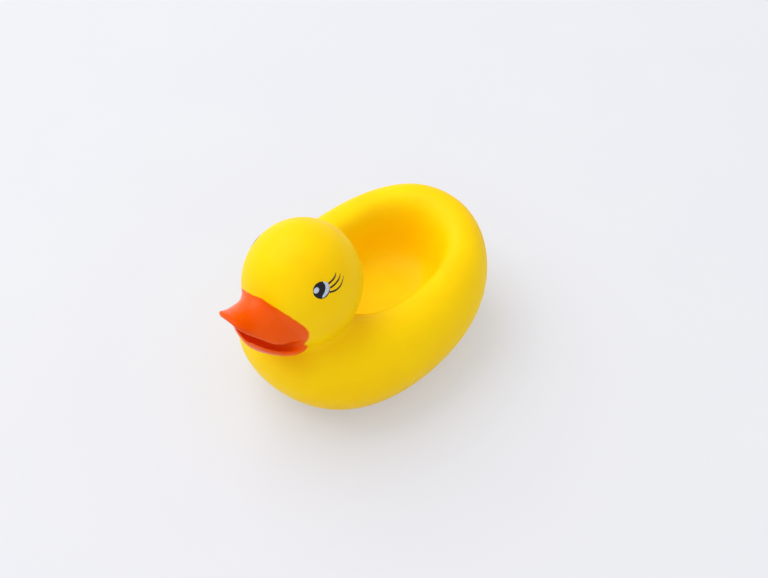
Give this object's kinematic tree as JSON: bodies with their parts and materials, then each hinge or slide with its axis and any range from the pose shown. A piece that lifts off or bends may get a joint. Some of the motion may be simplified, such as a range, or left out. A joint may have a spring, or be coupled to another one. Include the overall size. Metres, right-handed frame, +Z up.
{
  "type": "rubber duck",
  "caption": "Soft vinyl bath duck with a wide open bill, a deep oval recess in its back and a squeaker in its base.",
  "frame": {"origin": "centre of the bounding box in plan, on the plane the duck rests on", "axes": "+Z up, -Y the way the duck faces, +X the duck's left"},
  "size_m": [0.0928, 0.1421, 0.1],
  "materials": {
    "vinyl": "satin",
    "housing_plastic": "satin",
    "block_plastic": "satin",
    "reed_film": "gloss"
  },
  "bodies": {
    "root": {"duck_body": "vinyl", "squeaker_housing": "housing_plastic", "reed_block": "block_plastic", "reed": "reed_film"}
  },
  "joints": []
}
